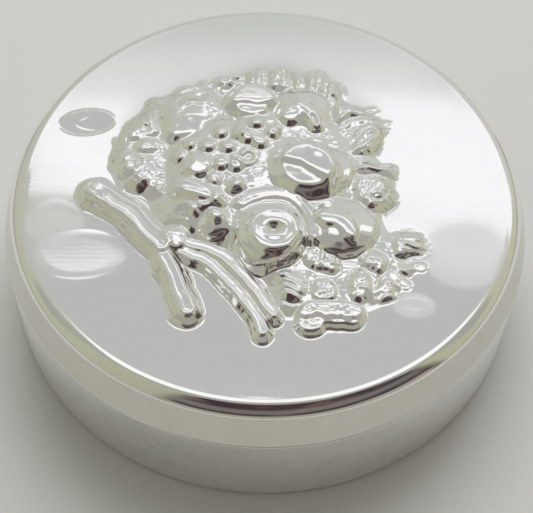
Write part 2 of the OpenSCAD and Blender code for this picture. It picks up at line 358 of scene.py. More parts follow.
# Leaves and blossoms: height, then the outline as x, y points
PADS = (
    # along the back, from left to right
    (0.75, ((-12.3, 9.6), (-11.7, 10.5), (-10.6, 10.5), (-9.9, 9.5), (-10.2, 8.3), (-11.8, 8.6))),
    (1.0, ((-9.9, 9.0), (-9.4, 10.9), (-8.1, 12.0), (-6.9, 12.2), (-5.6, 11.2), (-5.4, 9.6), (-7.6, 8.6))),
    (0.9, ((-7.2, 11.6), (-7.0, 12.8), (-6.3, 12.9), (-6.0, 11.9))),
    (1.0, ((-5.7, 11.6), (-5.3, 12.7), (-4.3, 13.4), (-2.7, 13.4), (-2.4, 12.6), (-3.1, 11.6), (-4.5, 11.0))),
    (1.1, ((-2.5, 12.8), (-2.1, 13.9), (-1.2, 14.7), (-0.4, 14.3), (-0.1, 13.2), (-0.3, 11.2), (-2.2, 11.2))),
    (1.2, ((0.0, 11.4), (0.1, 13.4), (0.7, 14.5), (1.5, 14.9), (2.1, 14.6), (2.3, 13.3), (2.2, 11.0))),
    (1.1, ((2.2, 10.8), (2.2, 13.4), (2.7, 14.4), (3.2, 14.2), (3.4, 12.8), (3.1, 10.8))),
    (1.2, ((3.3, 10.6), (3.4, 13.4), (4.2, 14.0), (5.3, 14.1), (5.9, 13.5), (5.7, 12.0), (5.3, 10.4))),
    (1.1, ((5.6, 9.4), (5.5, 11.3), (5.9, 13.1), (6.6, 13.1), (7.3, 12.1), (7.3, 10.9), (6.6, 9.6))),
    # on the right
    (1.2, ((6.3, 7.4), (6.2, 9.3), (7.0, 10.1), (8.6, 10.2), (9.8, 9.5), (10.6, 9.0), (10.4, 8.5), (9.0, 8.0),
           (8.0, 7.6), (7.1, 6.9))),
    (0.85, ((6.0, 5.2), (6.4, 6.6), (7.6, 7.6), (9.0, 8.2), (10.8, 8.6), (12.3, 8.3), (11.4, 7.6), (9.4, 7.4),
            (8.0, 6.6), (7.2, 5.4), (6.8, 3.6), (6.2, 3.8))),
    (1.0, ((7.4, 3.6), (8.1, 5.2), (8.7, 6.4), (9.8, 7.4), (11.2, 7.6), (12.1, 7.4), (11.4, 6.2), (11.2, 5.0),
           (10.4, 4.0), (9.2, 3.2), (8.0, 3.0))),
    (1.15, ((7.9, 1.7), (8.5, 2.6), (10.0, 2.9), (11.8, 3.0), (12.6, 2.3), (12.6, 1.4), (12.0, 0.8),
            (10.4, 0.9), (8.2, 0.9))),
    (1.1, ((7.6, 0.8), (9.0, 1.1), (10.6, 0.9), (11.6, 0.2), (12.5, -0.6), (12.4, -1.7), (11.3, -2.8),
           (9.6, -3.2), (8.2, -2.7), (7.6, -1.0))),
    (0.85, ((11.2, -6.2), (11.6, -5.3), (13.0, -4.9), (14.4, -5.1), (14.9, -6.2), (14.6, -7.2), (13.6, -8.0),
            (12.2, -8.3), (11.4, -7.8))),
    (0.6, ((12.0, -9.0), (13.2, -8.2), (14.3, -8.3), (14.6, -9.0), (14.1, -9.4), (13.2, -9.9), (12.4, -9.8))),
    (0.55, ((11.4, -9.4), (12.0, -9.6), (12.6, -10.3), (13.0, -11.0), (12.6, -11.6), (11.9, -11.4),
            (11.3, -10.6))),
    (0.7, ((10.3, -11.4), (10.8, -10.3), (11.6, -10.2), (12.2, -11.2), (12.0, -12.3), (11.1, -12.9),
           (10.1, -12.8))),
    # along the front
    (1.15, ((8.3, -8.4), (9.2, -7.4), (10.4, -7.3), (11.3, -8.2), (11.2, -9.3), (10.4, -10.2), (9.3, -9.8),
            (8.4, -9.4))),
    (0.8, ((7.2, -11.0), (7.6, -9.6), (8.7, -9.2), (9.6, -10.0), (9.9, -11.3), (9.4, -12.6), (8.3, -13.2),
           (7.4, -12.6))),
    (0.9, ((3.1, -8.3), (3.8, -7.2), (4.6, -6.6), (5.8, -7.0), (6.7, -8.1), (6.9, -9.4), (6.4, -10.4),
            (5.2, -10.3), (4.3, -10.1), (3.4, -9.3))),
    (0.8, ((0.8, -10.9), (1.7, -10.1), (3.2, -10.2), (4.1, -11.3), (4.0, -12.4), (3.3, -13.1), (2.2, -13.4),
            (1.3, -13.0), (0.8, -12.0))),
    (0.85, ((4.0, -11.9), (4.5, -10.9), (5.6, -10.7), (6.6, -11.3), (6.7, -12.4), (5.8, -13.1),
            (4.6, -12.9))),
    (0.7, ((6.9, -14.0), (7.1, -13.2), (8.2, -13.2), (9.0, -13.8), (8.9, -14.5), (7.8, -14.6))),
    # on the left
    (1.0, ((-14.6, 4.3), (-14.2, 6.0), (-13.6, 7.4), (-12.3, 8.4), (-11.2, 8.4), (-10.4, 7.0), (-10.2, 5.2),
           (-11.2, 4.6), (-13.0, 4.0))),
    (1.2, ((-12.8, 3.2), (-12.6, 4.3), (-11.7, 4.9), (-10.6, 4.5), (-9.9, 3.4), (-10.6, 2.6), (-11.9, 2.5))),
    (1.0, ((-15.0, 1.8), (-14.6, 3.2), (-13.3, 3.4), (-11.9, 2.9), (-10.7, 2.7), (-10.4, 1.0), (-10.8, -0.8),
           (-11.9, -1.7), (-13.2, -1.4), (-14.0, 0.2))),
)

# The outline of the whole bouquet but its stalks, which all stands a little proud
BED = (
    (-15.0, 2.4), (-14.4, 5.5), (-13.5, 7.5), (-12.0, 9.6), (-10.0, 10.9), (-7.5, 12.1), (-5.0, 13.0),
    (-1.2, 14.4), (1.5, 14.6), (4.2, 13.8), (6.6, 12.9), (7.3, 10.9), (9.6, 9.6), (11.4, 8.2), (11.2, 5.2),
    (10.8, 3.2), (12.3, 2.2), (12.3, -0.8), (11.2, -3.2), (11.4, -5.0), (14.0, -5.2), (14.5, -6.6),
    (13.2, -8.2), (13.6, -9.2), (12.4, -11.0), (11.6, -12.4), (9.8, -13.4), (8.6, -14.2), (6.0, -14.4),
    (3.6, -14.4), (2.4, -14.8), (0.7, -14.2), (0.0, -11.0), (-3.0, -8.6), (-6.5, -7.0), (-9.5, -5.6),
    (-10.6, -3.0), (-12.2, -1.6), (-13.6, -0.6),
)

# Ridges, and grooves where the depth is negative: width, depth, then the points
FOLDS = (
    # along the back
    (0.13, 0.09, ((-11.8, 9.7), (-11.4, 10.2), (-10.8, 10.2))),
    (0.16, 0.10, ((-9.4, 8.9), (-8.8, 8.8), (-8.2, 8.5), (-7.7, 9.6), (-6.8, 9.4), (-5.9, 10.0))),
    (0.20, 0.07, ((-9.3, 10.8), (-8.6, 11.4), (-7.5, 11.8))),
    (0.13, 0.09, ((-5.7, 11.3), (-5.6, 10.6), (-5.9, 10.0))),
    (0.14, 0.09, ((-5.3, 11.9), (-4.7, 12.6), (-4.0, 13.1))),
    (0.14, 0.09, ((-4.9, 11.8), (-4.5, 12.3), (-4.1, 12.6))),
    (0.14, 0.10, ((-4.0, 11.7), (-3.8, 12.3), (-3.4, 12.9), (-2.8, 13.1))),
    (0.14, -0.20, ((-3.7, 12.3), (-3.3, 12.4), (-2.8, 12.7))),
    (0.14, 0.10, ((-2.2, 13.3), (-1.8, 14.0), (-1.1, 14.4), (-0.6, 13.9), (-0.5, 13.2))),
    (0.12, 0.08, ((-1.6, 12.4), (-1.1, 13.2), (-0.9, 12.3))),
    (0.14, 0.10, ((0.2, 11.9), (0.35, 13.2), (0.7, 14.1), (1.4, 14.6), (2.0, 14.6))),
    (0.14, -0.08, ((2.0, 11.6), (2.1, 13.0), (2.1, 14.2))),
    (0.13, 0.09, ((2.4, 11.3), (2.7, 12.1), (2.9, 13.1), (2.8, 14.0))),
    (0.12, 0.08, ((2.4, 13.0), (2.5, 13.8), (2.8, 14.2))),
    (0.12, 0.09, ((3.4, 12.5), (3.8, 13.4), (4.3, 13.7))),
    (0.12, 0.09, ((4.0, 10.8), (4.0, 12.2), (4.3, 13.6))),
    (0.12, 0.09, ((4.7, 10.8), (4.6, 12.2), (4.8, 13.6))),
    (0.12, 0.09, ((5.1, 11.2), (5.1, 12.6), (5.3, 13.8))),
    (0.12, 0.09, ((5.8, 10.0), (5.8, 11.0), (6.0, 12.0), (6.4, 12.8))),
    (0.12, 0.09, ((6.2, 10.6), (6.4, 11.4), (6.7, 12.0))),
    # on the right
    (0.14, 0.10, ((6.5, 8.2), (6.6, 9.2), (7.4, 9.8), (8.6, 9.9), (9.2, 9.6))),
    (0.10, 0.07, ((6.7, 8.9), (7.4, 9.3), (8.3, 9.5))),
    (0.12, 0.10, ((6.9, 7.4), (7.9, 8.5), (9.0, 8.9), (10.2, 8.8))),
    (0.10, 0.07, ((7.2, 8.3), (8.1, 9.0), (9.2, 9.2))),
    (0.12, 0.10, ((6.2, 5.4), (6.6, 6.5), (7.4, 7.2), (8.6, 7.8))),
    (0.10, 0.07, ((6.9, 5.0), (7.2, 6.2), (8.2, 7.2), (9.4, 7.7))),
    (0.12, 0.10, ((8.1, 5.0), (8.7, 6.1), (9.5, 6.9), (10.6, 7.3), (11.7, 7.3))),
    (0.10, 0.08, ((8.2, 4.4), (9.1, 5.8), (10.2, 6.7))),
    (0.10, 0.08, ((8.5, 3.9), (9.6, 5.0), (10.5, 5.9), (10.8, 6.6))),
    (0.10, 0.08, ((8.4, 3.2), (9.4, 3.9), (10.0, 4.8), (10.5, 5.4))),
    (0.09, 0.07, ((9.6, 3.9), (10.2, 4.4), (10.5, 5.1))),
    (0.10, -0.42, ((8.6, 2.2), (9.4, 2.4), (10.6, 2.55), (11.8, 2.55))),
    (0.12, 0.09, ((8.1, 1.3), (9.0, 1.8), (10.2, 1.7), (11.4, 2.0), (12.0, 1.7))),
    (0.12, 0.09, ((12.0, 2.7), (12.3, 2.1), (12.0, 1.2))),
    (0.10, 0.08, ((8.2, 1.0), (9.0, 1.2), (10.4, 1.2))),
    (0.14, 0.10, ((7.9, -1.0), (7.8, 0.0), (8.1, 0.8))),
    (0.12, 0.09, ((8.6, -0.8), (8.9, 0.2), (10.2, 0.7), (11.0, 0.3))),
    (0.12, 0.09, ((10.6, -0.2), (11.6, -0.3), (12.2, -1.0))),
    (0.12, 0.09, ((8.8, -2.2), (9.8, -1.2), (11.0, -1.2))),
    (0.12, -0.25, ((9.6, -1.7), (10.1, -1.9), (10.6, -1.7))),
    (0.12, 0.09, ((11.7, -5.5), (12.8, -5.3), (14.2, -5.5))),
    (0.11, 0.09, ((11.4, -6.2), (12.3, -5.9), (13.6, -5.9), (14.3, -6.2))),
    (0.11, 0.09, ((11.4, -6.3), (12.4, -6.5), (13.4, -6.8), (14.3, -6.6))),
    (0.11, 0.09, ((11.6, -6.9), (12.5, -7.1), (13.2, -7.1))),
    (0.11, 0.08, ((11.6, -7.5), (12.4, -7.6), (13.0, -7.4))),
    (0.10, -0.25, ((11.5, -7.9), (12.5, -8.0), (13.4, -7.6), (14.0, -7.4))),
    (0.14, 0.10, ((13.1, -8.5), (14.1, -8.5), (14.4, -9.0), (13.8, -9.3))),
    (0.14, 0.10, ((11.8, -9.5), (12.3, -10.2), (12.9, -10.9), (12.6, -11.3))),
    (0.12, 0.09, ((12.0, -9.1), (12.6, -9.5), (13.2, -9.9))),
    (0.10, 0.08, ((10.5, -11.2), (11.2, -10.7), (11.9, -10.9), (12.1, -11.6))),
    (0.10, 0.08, ((10.2, -12.6), (11.0, -12.2), (11.9, -12.2))),
    # along the front
    (0.14, 0.10, ((8.5, -8.6), (9.0, -7.8), (9.8, -7.5))),
    (0.12, -0.25, ((11.2, -8.2), (11.1, -9.3), (10.4, -10.3), (10.0, -11.6))),
    (0.14, 0.10, ((8.1, -10.2), (8.6, -9.7), (9.1, -10.2), (8.6, -10.7), (8.1, -10.3))),
    (0.12, 0.09, ((8.2, -11.8), (8.9, -11.3), (9.4, -11.9))),
    (0.14, 0.10, ((3.4, -8.6), (3.5, -7.9), (4.1, -7.9), (4.3, -8.6))),
    (0.11, 0.08, ((4.6, -6.8), (4.6, -7.9), (4.5, -8.9), (4.2, -9.7))),
    (0.11, 0.08, ((5.2, -7.0), (5.3, -8.2), (5.1, -9.4))),
    (0.11, 0.08, ((5.9, -7.2), (6.1, -8.4), (6.2, -9.8))),
    (0.11, 0.08, ((6.4, -8.0), (6.6, -9.0), (6.6, -10.0))),
    (0.11, 0.08, ((1.0, -10.8), (1.9, -10.3), (3.0, -10.5), (4.0, -11.3))),
    (0.11, 0.08, ((1.0, -11.3), (2.1, -11.1), (3.2, -11.8), (3.9, -12.2))),
    (0.11, 0.08, ((1.0, -12.0), (2.2, -11.8), (3.2, -12.5))),
    (0.11, 0.08, ((1.1, -12.6), (2.3, -12.5), (3.4, -13.1))),
    (0.10, -0.22, ((1.6, -13.0), (2.4, -13.3), (3.2, -13.1))),
    (0.13, 0.10, ((4.3, -11.8), (4.7, -11.1), (5.6, -11.0), (6.3, -11.6), (6.2, -12.4), (5.2, -12.8),
                  (4.4, -12.4), (4.3, -11.8))),
    (0.12, -0.10, ((4.8, -11.8), (5.3, -11.5), (5.8, -11.9), (5.3, -12.3), (4.8, -11.8))),
    (0.16, 0.10, ((3.3, -14.6), (4.6, -14.4), (5.6, -14.4), (6.3, -14.8), (7.2, -14.6), (8.2, -14.3))),
    (0.12, 0.08, ((3.5, -13.8), (4.0, -13.4), (5.0, -13.5), (6.6, -13.4))),
    (0.14, -0.12, ((5.2, -15.4), (5.3, -15.9))),
    (0.13, 0.10, ((7.0, -13.4), (7.2, -14.1), (8.0, -14.3))),
    (0.12, 0.09, ((8.4, -13.6), (8.8, -14.1), (8.6, -14.5))),
    # on the left
    (0.12, 0.09, ((-11.9, 8.2), (-11.2, 7.2), (-10.8, 6.2), (-10.6, 5.3))),
    (0.12, 0.09, ((-12.0, 7.6), (-11.5, 6.8), (-11.2, 5.9))),
    (0.12, 0.10, ((-13.8, 6.6), (-13.7, 5.8), (-13.1, 5.2), (-12.7, 5.4))),
    (0.14, 0.10, ((-12.9, 6.4), (-12.2, 6.6), (-11.7, 6.2))),
    (0.12, -0.25, ((-12.0, 6.4), (-11.6, 5.9))),
    (0.12, -0.20, ((-13.5, 5.1), (-13.4, 4.5), (-13.5, 4.0))),
    (0.10, 0.08, ((-14.8, 5.3), (-14.6, 4.5), (-14.2, 4.1))),
    (0.14, 0.10, ((-12.3, 4.4), (-11.4, 4.6), (-10.6, 4.2), (-10.0, 3.6))),
    (0.12, 0.10, ((-14.9, 1.9), (-14.2, 0.8), (-13.5, -0.6), (-13.1, -1.3))),
    (0.10, 0.08, ((-14.1, 2.8), (-13.4, 2.2), (-12.8, 2.6))),
    (0.12, 0.09, ((-12.4, 2.5), (-11.6, 2.0), (-10.8, 2.3))),
    (0.12, 0.09, ((-13.4, 1.2), (-12.6, 0.8), (-11.6, 1.2), (-10.8, 0.8))),
    (0.12, 0.09, ((-12.8, -0.2), (-12.0, -0.6), (-11.2, -0.2))),
)

# Ribbed leaves: middle, size, depth, spacing and direction of the ribs
RIBBED = (
    ((12.9, -6.4), (2.3, 2.0), 0.05, 0.68, -3), ((4.5, 12.3), (2.6, 2.2), 0.075, 0.95, 88),
    ((1.2, 12.8), (2.4, 1.9), 0.07, 1.0, 84), ((6.5, 11.2), (2.2, 1.2), 0.06, 0.8, 80),
    ((9.0, 5.6), (2.6, 2.2), 0.055, 0.75, 48), ((8.6, 8.7), (2.6, 1.3), 0.055, 0.75, 22),
    ((2.3, -11.7), (1.9, 1.9), 0.045, 0.6, -22), ((-1.3, 12.9), (2.0, 1.3), 0.065, 0.9, 75),
    ((-4.2, 12.2), (1.6, 1.8), 0.06, 0.9, 60), ((10.2, -1.2), (2.0, 1.8), 0.055, 0.75, 55),
    ((10.3, 1.8), (2.2, 1.0), 0.035, 0.6, 5),
)
# Crinkled leaves and blossoms: middle, size, depth, size of the folds, seed
CRINKLED = (
    ((-12.3, 6.3), (1.9, 2.0), 0.045, 0.5, 21), ((-12.4, 1.0), (1.8, 2.3), 0.055, 0.5, 33),
    ((10.2, -1.2), (2.0, 1.7), 0.045, 0.5, 41), ((10.3, -9.0), (0.9, 1.0), 0.055, 0.4, 47),
    ((8.6, -11.4), (1.2, 1.5), 0.055, 0.45, 51), ((5.1, -8.5), (1.6, 1.6), 0.05, 0.4, 53),
    ((11.3, -11.6), (0.9, 1.2), 0.05, 0.4, 57), ((5.3, -11.9), (1.2, 1.1), 0.05, 0.35, 61),
    ((-4.2, 12.6), (1.4, 0.8), 0.025, 0.45, 67), ((6.4, 11.6), (0.8, 1.6), 0.025, 0.4, 71),
    ((9.4, 6.2), (2.0, 2.2), 0.02, 0.4, 73), ((10.3, 1.9), (2.0, 0.8), 0.03, 0.4, 79),
    ((4.6, 12.4), (1.0, 1.4), 0.02, 0.4, 83), ((5.8, -14.5), (3.2, 1.6), 0.03, 0.5, 91),
    ((2.4, -12.0), (1.4, 1.8), 0.02, 0.35, 87),
)


def leaves():
    """The bed of leaves and blossoms that the fruit lies on."""
    # the bed: lower at the front right, and with a steeper edge at the back
    low = np.clip((X - Y - 10) / 8, 0, 1)
    back = np.clip((Y - 8) / 3, 0, 1)
    h = np.maximum(pad(BED, 0.65, 1.7) * (1 - 0.45 * low), 0)
    h = np.maximum(h, pad(BED, 0.6, 0.75) * back)
    h += crinkle((0, 0), (17, 17), 0.03, 0.55, 9) * (h > 0.3)
    h += 0.06 * np.maximum(Y - 10.3, 0) * np.clip(h * 2, 0, 1)
    for rise, outline in PADS:
        h += np.maximum(pad(outline, 0.28 * rise, 0.95), 0)
    for width, depth, line in FOLDS:
        h += fold(line, 1.6 * width, 1.2 * depth) if depth > 0 else fold(line, width, depth)
    for leaf in RIBBED:
        h += ribs(*leaf)
    # the leaf that stands out at the front
    front = mesa(((3.4, -13.9), (4.2, -13.4), (6.6, -13.3), (8.2, -13.7), (8.5, -14.6), (8.1, -15.25),
                  (6.9, -15.3), (5.6, -15.3), (4.9, -15.9), (4.0, -16.1), (3.3, -15.5)),
                 0.8, 0.55, crown=0.02)
    front += terrace(((3, -14.2), (4, -14.4), (4.8, -14.1), (5.6, -14.5), (6.6, -14.3), (7.4, -14.6),
                      (8.6, -14.2)), 0.8, 0.18)
    h = over(h, front, 0.15)
    for place in CRINKLED:
        h += crinkle(*place)
    return h


def facet(at, size, slope, turn, edge):
    """A flat patch that leans a little one way inside an ellipse, to add to a height."""
    rho, v = within_ellipse(at, size, turn)
    return slope * v * np.clip((1 - rho ** 3) * edge, 0, 1)


def dings():
    """Old knocks in the flat top, only just deep enough to bend a reflection."""
    h = facet((-17.6, 7.2), (2.8, 1.7), 0.06, 8, 5)
    h += fold([(-17.2, 8.2), (-18.4, 7.5), (-18.5, 6.9), (-17.6, 6.5), (-16.2, 6.4)], 0.22, -0.018)
    h += facet((-16.7, -8.4), (4.5, 2.8), -0.023, 2, 1.5) + bump((-16.2, -8.2), (4.4, 2.6), -0.05, 12, 2)
    h += ribs((-16.7, -8.6), (4.0, 2.3), 0.0012, 0.5, 2)
    h += fold([(-21.4, -5.4), (-20.9, -3.8), (-19.5, -2.9), (-18.1, -3.2), (-17.0, -3.9)], 0.3, 0.007)
    h += dent((18.2, -6.2), (3.2, 2.8), -0.02)
    ring = np.sqrt(((X - 13.3) / 1.1) ** 2 + ((Y + 12.9) / 0.65) ** 2)
    h += 0.009 * np.exp(-((ring - 1) / 0.3) ** 2)
    return h * np.clip((EASE_R - np.hypot(X, Y)) / 1.2, 0, 1)  # they fade out near the shoulder


GRAIN = 0.06  # spacing of the fine grid that the pressed height is worked out on
SPAN = 18.6  # half the width of that grid


def soften(field, reach):
    """The field as a sheet would take it: corners rounded over about this reach."""
    steps = int(3 * reach / GRAIN) + 1
    k = np.exp(-0.5 * (np.arange(-steps, steps + 1) * GRAIN / reach) ** 2)
    k /= k.sum()
    for axis in (0, 1):
        field = np.apply_along_axis(np.convolve, axis, field, k, "same")
    return field


def press():
    """The whole relief on the fine grid."""
    global X, Y
    line = np.arange(-SPAN, SPAN, GRAIN)
    X, Y = np.meshgrid(line, line)
    # the places are shifted a little, because nothing chased by hand is quite round or straight
    drift = [0.3 * noise(1.7, seed) + 0.12 * noise(0.7, seed + 1) for seed in (31, 35)]
    X, Y = X + drift[0] - 0.2, Y + drift[1] - 0.2
    h = over(leaves(), soften(fruit(), 0.1), 0.2)
    h = np.maximum(stalks(h), 0)
    return soften(h, 0.06) + 0.07 * soften(h, 1.1)  # the second is the sheet drawn up all round the relief


PRESSED = press()


def relief_height(x, y):
    """Height of the pressed relief over the flat top, at any place."""
    global X, Y
    X, Y = np.asarray(x, float), np.asarray(y, float)
    count = len(PRESSED)
    gx = np.clip((X + SPAN) / GRAIN, 0, count - 1.001)
    gy = np.clip((Y + SPAN) / GRAIN, 0, count - 1.001)
    ix, iy = gx.astype(int), gy.astype(int)
    fx, fy = gx - ix, gy - iy
    low = PRESSED[iy, ix] * (1 - fx) + PRESSED[iy, ix + 1] * fx
    high = PRESSED[iy + 1, ix] * (1 - fx) + PRESSED[iy + 1, ix + 1] * fx
    return low * (1 - fy) + high * fy + dings()


# ---------------------------------------------------------------- meshes


def add_mesh(name, points, faces, smooth=True):
    """A mesh object from points in millimetres."""
    mesh = bpy.data.meshes.new(name)
    mesh.from_pydata((np.asarray(points) * MM).tolist(), [], faces)
    mesh.validate()
    mesh.polygons.foreach_set("use_smooth", [smooth] * len(mesh.polygons))
    thing = bpy.data.objects.new(name, mesh)
    bpy.context.scene.collection.objects.link(thing)
    return thing


def hexagonal(reach, pitch):
    """A close-packed field of points over a square."""
    row_pitch = pitch * 0.866
    rows = int(2 * reach / row_pitch) + 1
    cols = int(2 * reach / pitch) + 1
    gx, gy = np.meshgrid(np.arange(cols) * pitch - reach, np.arange(rows) * row_pitch - reach)
    gx = gx + (np.arange(rows) % 2)[:, None] * pitch / 2
    return gx.ravel(), gy.ravel()


def relief_points(fine, coarse):
    """Points close together where the top is in relief and far apart where it is flat."""
    cell = 0.5
    border = FLAT_R + 2

    def cells(px, py):
        """Row and column of the coarse cell that each place is in."""
        return ((py + border) / cell).astype(int), ((px + border) / cell).astype(int)

    cx, cy = hexagonal(EASE_R, cell / 2)
    height = relief_height(cx, cy)
    raised = (np.abs(height - dings()) > 0.03) | (np.abs(dings()) > 0.008)
    size = int(2 * border / cell)
    wide = np.zeros((size, size), bool)
    wide[cells(cx[raised], cy[raised])] = True
    for axis in (0, 1):
        wide |= np.roll(wide, 1, axis) | np.roll(wide, -1, axis)
    out = []
    for pitch, wanted in ((fine, True), (coarse, False)):
        hx, hy = hexagonal(EASE_R, pitch)
        inside = np.hypot(hx, hy) < EASE_R - pitch * 0.7
        hx, hy = hx[inside], hy[inside]
        out.append(np.stack([hx, hy], 1)[wide[cells(hx, hy)] == wanted])
    return np.concatenate(out)


def circle(r, count):
    """Points evenly round a circle."""
    a = np.arange(count) * 2 * math.pi / count
    return np.stack([r * np.cos(a), r * np.sin(a)], 1)


def disc_mesh(ring_count, fine, coarse):
    """Triangles over the flat top: its points, with the outer ring first, and its faces."""
    points = np.concatenate([circle(EASE_R, ring_count), relief_points(fine, coarse)])
    flat = [Vector(p) for p in points.tolist()]
    places, _, faces, sources, _, _ = geometry.delaunay_2d_cdt(flat, [], [], 0, 1e-7)
    assert len(places) == len(points)
    return points, [tuple(sources[i][0] for i in f) for f in faces]


# The lid's shoulder from its flat top down to the joint: how far past the flat, and how far down
ROLL = (
    (-0.5, 0.0), (-0.4, 0.0), (-0.25, 0.008), (0.0, 0.048), (0.12, 0.10), (0.2, 0.145), (0.45, 0.31),
    (0.7, 0.52), (0.85, 0.68), (0.96, 0.83), (1.045, 1.0),
)


def shoulder(inset):
    """The shoulder's outline as radius and height: outside, from flat top to joint, or inside, back up."""
    foot = np.array([OUTER_R - inset / math.cos(LEAN) - math.tan(LEAN) * (JOINT_Z - RIM_Z), JOINT_Z])
    if not inset:
        curve = np.array([FLAT_R, TOP_Z]) + spline(ROLL, steps=3) * np.array([SHOULDER, -SHOULDER])
        return [*curve[1:-1], foot]
    outward = np.array([math.cos(LEAN), math.sin(LEAN)])
    down = np.array([math.sin(LEAN), -math.cos(LEAN)])
    start = np.array([EASE_R, TOP_Z - inset])
    end = np.array([FLAT_R, JOINT_Z]) + (SHOULDER - inset) * outward
    corner = end - down * (TOP_Z - inset - end[1]) / math.cos(LEAN)
    pull = 0.72  # how far the curve is drawn into the corner
    a, b = start + (corner - start) * pull, end + (corner - end) * pull
    out = []
    for t in np.linspace(0, 1, 9)[1:]:
        out.append(start * (1 - t) ** 3 + 3 * a * t * (1 - t) ** 2 + 3 * b * t * t * (1 - t) + end * t ** 3)
    return [foot, *out[::-1]]


def make_lid_plate():
    """The pressed sheet: relief on top, shoulder, cut edge at the joint, and a plainer relief underneath."""
    count = 288
    top, top_faces = disc_mesh(count, 0.125, 0.3)
    under, under_faces = disc_mesh(count, 0.5, 1.0)
    z_top = TOP_Z + relief_height(top[:, 0], top[:, 1])
    z_under = TOP_Z - SHEET + 0.9 * np.maximum(relief_height(under[:, 0], under[:, 1]), 0)
    points = [np.column_stack([top, z_top])]
    faces = list(top_faces)
    base = len(top)
    ring = list(range(count))

    def join(new):
        """Faces from the last ring to a new one."""
        return [(ring[i], new[i], new[(i + 1) % count], ring[(i + 1) % count]) for i in range(count)]

    for inset in (0, SHEET):
        cut_edge = len(faces)  # in the end, the first face of the cut edge
        for r, z in shoulder(inset):
            points.append(np.column_stack([circle(r, count), np.full(count, z)]))
            new = list(range(base, base + count))
            faces += join(new)
            ring = new
            base += count
    points.append(np.column_stack([under, z_under]))
    faces += join(list(range(base, base + count)))
    faces += [tuple(base + i for i in f[::-1]) for f in under_faces]
    thing = add_mesh("pressed_lid_top", np.concatenate(points), faces)
    for face in thing.data.polygons[cut_edge:cut_edge + count]:
        face.use_smooth = False
    return thing


# ---------------------------------------------------------------- silver


def maker(tree):
    """Two short ways to add nodes to a tree: any node with its inputs in order, and a Math node."""

    def put(kind, inputs=(), **settings):
        node = tree.nodes.new(kind)
        for name, value in settings.items():
            setattr(node, name, value)
        for slot, value in enumerate(inputs):
            if isinstance(value, bpy.types.NodeSocket):
                tree.links.new(value, node.inputs[slot])
            elif value is not None:
                node.inputs[slot].default_value = value
        return node.outputs[0]

    def calc(operation, *inputs):
        return put("ShaderNodeMath", inputs, operation=operation)

    return put, calc


def silver(name, tint, dull, rough, marks, pitch, depth, worn_spots=()):
    """Silver with polishing marks that run around a wall, in rings on a disc, or across a flat.

    `tint` is its bright colour and `dull` its tarnished one, `pitch` the spacing of the marks in millimetres
    and `depth` how deep they and the grain between them look, in thousandths of a millimetre. Each worn spot
    is the middle and size of an ellipse in millimetres, and how much rougher the silver is there.
    """
    material = bpy.data.materials.new(name)
    material.use_nodes = True
    tree = material.node_tree
    shader = tree.nodes["Principled BSDF"]
    put, calc = maker(tree)
    here = tree.nodes.new("ShaderNodeTexCoord").outputs["Object"]
    split = tree.nodes.new("ShaderNodeSeparateXYZ")
    tree.links.new(here, split.inputs[0])
    x, y, z = split.outputs

    # noises: their inputs are place, unused, scale per metre, detail and roughness
    wide, tight = 60.0, 1 / (pitch * MM)
    if marks == "around":
        lane = (calc("MULTIPLY", x, wide), calc("MULTIPLY", y, wide), calc("MULTIPLY", z, tight))
    elif marks == "rings":
        away = calc("SQRT", calc("ADD", calc("MULTIPLY", x, x), calc("MULTIPLY", y, y)))
        lane = (calc("MULTIPLY", x, wide), calc("MULTIPLY", y, wide), calc("MULTIPLY", away, tight))
    else:
        lane = (calc("MULTIPLY", x, wide), calc("MULTIPLY", y, tight), calc("MULTIPLY", z, wide))
    lines = put("ShaderNodeTexNoise", (put("ShaderNodeCombineXYZ", lane), None, 1.0, 3.0, 0.6))
    cloud = put("ShaderNodeTexNoise", (here, None, 150.0, 3.0, 0.55))
    stain = put("ShaderNodeTexNoise", (here, None, 420.0, 4.0, 0.6))
    grain = put("ShaderNodeTexNoise", (here, None, 6000.0, 2.0, 0.6))

    # how rough: uneven, and more so in the worn spots
    worn = calc("MULTIPLY_ADD", lines, 0.5, calc("MULTIPLY", cloud, 0.5))
    matt = put("ShaderNodeMapRange", (worn, 0.35, 0.65, rough * 0.75, rough * 1.3))
    for at, size, extra in worn_spots:
        dx = calc("MULTIPLY_ADD", x, 1 / (size[0] * MM), -at[0] / size[0])
        dy = calc("MULTIPLY_ADD", y, 1 / (size[1] * MM), -at[1] / size[1])
        away = calc("ADD", calc("MULTIPLY", dx, dx), calc("MULTIPLY", dy, dy))
        matt = calc("ADD", matt, put("ShaderNodeMapRange", (away, 0.75, 1.1, extra, 0.0)))
    tree.links.new(matt, shader.inputs["Roughness"])

    # colour: bright silver with tarnish in its grain and clouds
    spots = calc("MULTIPLY_ADD", grain, 0.55, calc("MULTIPLY_ADD", stain, 0.25, calc("MULTIPLY", cloud, 0.2)))
    tarnish = put("ShaderNodeMapRange", (spots, 0.36, 0.64, 0.0, 1.0))
    colour = tree.nodes.new("ShaderNodeMix")
    colour.data_type = "RGBA"
    tree.links.new(tarnish, colour.inputs["Factor"])
    colour.inputs[6].default_value = (*tint, 1)
    colour.inputs[7].default_value = (*dull, 1)
    tree.links.new(colour.outputs[2], shader.inputs["Base Color"])

    # fine marks in the surface
    height = calc("MULTIPLY_ADD", lines, 0.7, calc("MULTIPLY", grain, 0.3))
    scratches = tree.nodes.new("ShaderNodeBump")
    scratches.inputs["Distance"].default_value = depth * 0.001 * MM
    tree.links.new(height, scratches.inputs["Height"])
    tree.links.new(scratches.outputs[0], shader.inputs["Normal"])
    shader.inputs["Metallic"].default_value = 1.0
    return material


def dress(thing, material):
    """Gives a thing one material, in place of what it had."""
    thing.data.materials.clear()
    thing.data.materials.append(material)


